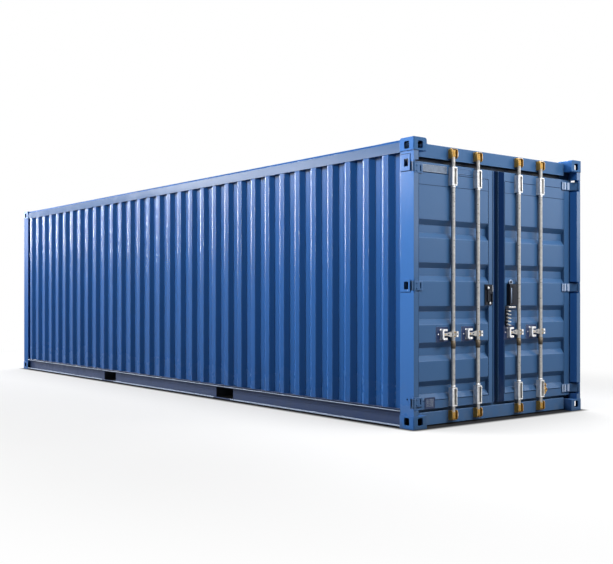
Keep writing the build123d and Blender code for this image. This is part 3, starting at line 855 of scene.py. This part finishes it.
latch_face = door_face + 0.012
latch_line = -0.142
latch_eye = 1.262
latch_foot = 1.115
latch_thickness = 0.012
latch_arms = ((-0.012, 0.01, 1.13, 1.245), (0.01, 0.064, 1.205, 1.228), (0.052, 0.066, 1.125, 1.216))
latch_bar = (0.068, 0.072, 1.14, 1.29)
eye_ring = (0.022, 0.006)
box_eye = (0.188, 1.318)
box_rod = (0.168, 1.115)
box_lever = (0.13, 0.235, 1.066, 1.084)
box_front_shade = (0.186, 0.244, 1.11, 1.285)
ring_shade_strip = (0.124, 0.16, 0.885, 1.06)
ring_place = (0.142, 1.04)
ring_count = 5
ring_step = 0.034
ring_lean = (0.25, 0.05, 1)
holdback_place = 0.735
cover_strips = ((1.021, 1.037), (1.056, 1.08), (1.106, 1.14))
cover_half = 0.038
cover_thickness = 0.0022


def make_latch():
    """Hook with its ring on the left latch plate, and its two pins and the bar beside it."""
    x0, x1 = latch_face, latch_face + latch_thickness
    y = latch_line
    hook = Piece("latch_hook", "left_door", "dark")
    hook.ring(((x0 + x1) / 2, y, latch_eye), forward, *eye_ring)
    for y0, y1, z0, z1 in latch_arms:
        hook.block((x0, y + y0, z0), (x1, y + y1, z1), 0.003)
    hook.done()
    pin = Piece("latch_pins", "left_door", "zinc")
    pin.rod((x0, y, latch_eye), forward, 0.012, 0.016, 0.005)
    pin.rod((x0, y + 0.03, latch_foot), forward, 0.012, 0.01, 0.004)
    y0, y1, z0, z1 = latch_bar
    pin.block((x0, y + y0, z0), (x0 + 0.004, y + y1, z1), eased)
    pin.done()


def make_lock_box_trim():
    """Eye, rod, lever and hanging rings at the lock box, with dark faces behind the rings, on the box's
    front and in the eye that are painted shade.
    """
    x = door_face
    y, z = box_eye
    eye = Piece("lock_box_eye", "right_door", "lip")
    eye.ring((x + 0.02, y, z), forward, *eye_ring)
    eye.rod((x + 0.044, *box_rod), upward, 0.006, 0.15, 0.002, 12)
    eye.done()
    lever = Piece("lock_box_lever", "right_door", "bar")
    y0, y1, z0, z1 = box_lever
    lever.block((x, y0, z0), (x + 0.046, y1, z1), 0.005)
    lever.done()
    # Painted shade: dark plug in the eye, and dark faces behind the rings and on the box's front
    hole = Piece("lock_box_shade_faces", "right_door", "dark")
    hole.rod((x, y, z), forward, 0.0165, 0.018)
    y0, y1, z0, z1 = ring_shade_strip
    hole.block((x, y0, z0), (x + 0.012, y1, z1), 0.003)
    y0, y1, z0, z1 = box_front_shade
    hole.block((x + 0.0442, y0, z0), (x + 0.048, y1, z1), 0.002)
    hole.done()
    rings = Piece("lock_box_rings", "right_door", "bar")
    y, top = ring_place
    for k in range(ring_count):
        rings.ring((x + 0.032, y, top - ring_step * k), ring_lean, 0.02, 0.006)
    rings.done()


def make_holdback():
    """Hook and ring near the foot of the right door, which hold it open."""
    hook = Piece("holdback_hook", "right_door", "gold")
    x, y = door_face + 0.006, holdback_place
    hook.block((door_face, y - 0.016, 0.19), (x, y + 0.02, 0.3), 0.002)
    hook.rod((x, y, 0.28), forward, 0.008, 0.02, 0.004, 14)
    hook.ring((x + 0.012, y, 0.235), forward, 0.018, 0.0055)
    hook.done()


def make_hinge_covers():
    """Pale plates on the hinges of the right door only."""
    covers = Piece("right_hinge_covers", "right_door", "lip")
    x0, x1 = hinge_face, hinge_face + cover_thickness
    for z in hinge_levels:
        for y0, y1 in cover_strips:
            covers.block((x0, y0, z - cover_half), (x1, y1, z + cover_half), 0.0008)
    covers.done()


# Collars, sleeves and rivets on the lock bars

collar_wall = 0.0028
collar_gap = 0.097
collar_height = 0.014
sleeve_level = 0.735
sleeve_height = 0.075
hub_face = bar_line + 0.0208
hub_rivet = (0.0065, 0.005)
hub_rivet_half_gap = 0.018
handle_face = bar_line + 0.005
handle_rivet = (0.006, 0.004)
handle_rivet_offset = 0.112


def make_bar_trim(i, y):
    """Stop collars and sleeve on a lock bar, and the rivets of its hub and handle."""
    low, high = guide_levels
    collars = Piece(f"bar_{i}_collars", f"bar_{i}", "zinc")
    for z in (low + collar_gap, high - collar_gap):
        collars.collar((bar_line, y, z), bar_radius, bar_radius + collar_wall, collar_height)
    collars.done()
    sleeve = Piece(f"bar_{i}_sleeve", f"bar_{i}", "bronze")
    sleeve.collar((bar_line, y, sleeve_level), bar_radius, bar_radius + collar_wall, sleeve_height)
    sleeve.done()
    rivets = Piece(f"bar_{i}_hub_rivets", f"bar_{i}", "gold")
    for dz in (-hub_rivet_half_gap, hub_rivet_half_gap):
        rivets.head((hub_face, y, handle_level + dz), *hub_rivet)
    rivets.head((handle_face, y - handle_rivet_offset, handle_level), *handle_rivet)
    rivets.done()


make_post_plates()
make_sill_gussets()
make_keeper_flanges()
make_weld_seams()
make_rail_lip_highlights()
make_roof_plates()
make_deck_screws()
make_door_trim("left", -1)
make_door_trim("right", 1)
bare_plate("name_plate", "plate", -1.015, -0.70, 2.309, 2.375)
bare_plate("second_plate", "door", -0.6, -0.36, 2.322, 2.375)
bare_plate("data_plate", "pad", *data_plate)
blank_fields("data_plate_fields", "plate", *data_plate, data_rows)
make_latch()
make_lock_box_trim()
make_holdback()
make_hinge_covers()
for i, y in enumerate(bars, 1):
    make_bar_trim(i, y)


# Floor

floor_half = 60
floor_colours = ((0.49, 0.49, 0.495), (0.51, 0.51, 0.512))
floor_dark = (0.05, 0.05, 0.055)
floor_to_other_rays = (0.14, 0.145, 0.16)
near_white = 0.62
fade_start = 1.2
fade_end = 5.0
contact_reach = 1.0
contact_depth = 0.34
under_edge = 0.1
under_light = 0.01


def distance_from_object(g):
    """Distance on the floor from the box round the container, which is zero beneath it."""
    place = g.add("VectorMath", operation="ABSOLUTE")
    g.join(g.coords, place.inputs[0])
    beyond = g.add("VectorMath", operation="SUBTRACT")
    g.join(place.outputs[0], beyond.inputs[0])
    beyond.inputs[1].default_value = (cad_box[1][0], cad_box[1][1], 0)
    outside = g.add("VectorMath", operation="MAXIMUM")
    g.join(beyond.outputs[0], outside.inputs[0])
    length = g.add("VectorMath", operation="LENGTH")
    g.join(outside.outputs[0], length.inputs[0])
    return length.outputs["Value"]


def contact_shade(g, distance):
    """One on open floor, less close to the container and almost zero beneath it."""
    contact = g.add("AmbientOcclusion", samples=8)
    contact.inputs["Distance"].default_value = contact_reach
    shade = g.math("MULTIPLY", contact.outputs["AO"], contact_depth)
    shade = g.math("ADD", shade, 1 - contact_depth)
    return g.math("MULTIPLY", shade, g.span(distance, 0, under_edge, under_light, 1))


def floor_material():
    """Pale floor that is white to the eye away from the object, and dim to other rays."""
    g = Graph("studio_floor")
    rays = g.add("LightPath")
    seen = g.math("MAXIMUM", rays.outputs["Is Camera Ray"], rays.outputs["Is Glossy Ray"])
    seen = g.math("MAXIMUM", seen, rays.outputs["Is Transmission Ray"])
    distance = distance_from_object(g)
    shade = contact_shade(g, distance)
    pale = g.mix(g.noise(0.8, 3), *floor_colours)
    pale = g.mix(shade, floor_dark, pale)
    g.join(g.mix(seen, floor_to_other_rays, pale), g.bsdf.inputs["Base Color"])
    g.bsdf.inputs["Roughness"].default_value = 0.9
    g.bsdf.inputs["Specular IOR Level"].default_value = 0.1
    white = g.add("Emission")
    white.inputs["Color"].default_value = (1, 1, 1, 1)
    g.join(shade, white.inputs["Strength"])
    far = g.span(distance, fade_start, fade_end, near_white, 1.0)
    blend = g.add("MixShader")
    g.join(g.math("MULTIPLY", far, seen), blend.inputs[0])
    g.join(g.bsdf.outputs[0], blend.inputs[1])
    g.join(white.outputs[0], blend.inputs[2])
    g.join(blend.outputs[0], g.tree.nodes["Material Output"].inputs["Surface"])
    return g.mat


def make_floor():
    """Studio floor at the level that the container stands on."""
    mesh = bpy.data.meshes.new("studio_floor")
    h = floor_half
    mesh.from_pydata([(-h, -h, 0), (h, -h, 0), (h, h, 0), (-h, h, 0)], [], [(0, 1, 2, 3)])
    mesh.materials.append(floor_material())
    floor = bpy.data.objects.new("studio_floor", mesh)
    bpy.context.scene.collection.objects.link(floor)


# World and lamps

world_tint = (0.9, 0.95, 1.0, 1)
world_light = 0.08
door_middle = (4.5, 0, 1.3)
box_count = 7
box_start = -9.2
box_step = 2.1
box_height = 4.9
box_stand_off = 4.4
box_lead = 3.6
box_size = (1.4, 1.4)
box_beam = 76
box_power = 50


def make_world():
    """White studio backdrop, dimmer as a light than as a background."""
    world = bpy.data.worlds.new("studio")
    bpy.context.scene.world = world
    world.use_nodes = True
    tree = world.node_tree
    light = tree.nodes["Background"]
    light.inputs["Color"].default_value = world_tint
    light.inputs["Strength"].default_value = world_light
    seen = tree.nodes.new("ShaderNodeBackground")
    seen.inputs["Color"].default_value = (1, 1, 1, 1)
    seen.inputs["Strength"].default_value = 1.0
    rays = tree.nodes.new("ShaderNodeLightPath")
    either = rays.outputs["Is Camera Ray"]
    for name in ("Is Glossy Ray", "Is Transmission Ray"):
        node = tree.nodes.new("ShaderNodeMath")
        node.operation = "MAXIMUM"
        tree.links.new(either, node.inputs[0])
        tree.links.new(rays.outputs[name], node.inputs[1])
        either = node.outputs[0]
    blend = tree.nodes.new("ShaderNodeMixShader")
    tree.links.new(either, blend.inputs[0])
    tree.links.new(light.outputs[0], blend.inputs[1])
    tree.links.new(seen.outputs[0], blend.inputs[2])
    tree.links.new(blend.outputs[0], tree.nodes["World Output"].inputs["Surface"])


def make_lamp(name, place, target, size, power, beam=180):
    """Rectangular soft box that points at a target, with its beam in degrees."""
    data = bpy.data.lights.new(name, "AREA")
    data.shape = "RECTANGLE"
    data.size, data.size_y = size
    data.energy = power
    data.spread = math.radians(beam)
    lamp = bpy.data.objects.new(name, data)
    lamp.location = place
    aim = Vector(target) - Vector(place)
    lamp.rotation_euler = aim.to_track_quat("-Z", "Y").to_euler()
    bpy.context.scene.collection.objects.link(lamp)


def make_side_boxes(name, s):
    """Row of soft boxes over a long side, each turned towards the doors."""
    for i in range(box_count):
        x = box_start + box_step * i
        place = (x, s * box_stand_off, box_height)
        make_lamp(f"{name}_{i + 1}", place, (x + box_lead, s * 1.2, 2.1), box_size, box_power, box_beam)


make_floor()
make_world()
make_side_boxes("left_box", -1)
make_side_boxes("right_box", 1)
make_lamp("left_kicker", place=(-7.5, -7.0, 4.1), target=(0, -1.2, 2.4), size=(9, 0.9), power=400)
make_lamp("left_end_box", place=(-17, -2.9, 4.6), target=(0, -1.2, 2.3), size=(2.4, 4.0), power=2900)
make_lamp("door_box", place=(9.5, 1.0, 7.3), target=door_middle, size=(5, 2), power=700)
make_lamp("rib_light", place=(8.6, 7.7, 6.1), target=door_middle, size=(1.5, 1.5), power=200)
make_lamp("door_sheen", place=(11.5, 8.2, 3.8), target=door_middle, size=(5, 3.5), power=230)
make_lamp("door_strip", place=(8.0, 0, 5.2), target=(4.5, 0, 1.2), size=(5, 2), power=160)
make_lamp("front_strip", place=(-8.0, 0, 5.2), target=(-4.5, 0, 1.2), size=(5, 2), power=100)

bpy.context.scene.view_settings.view_transform = "Standard"
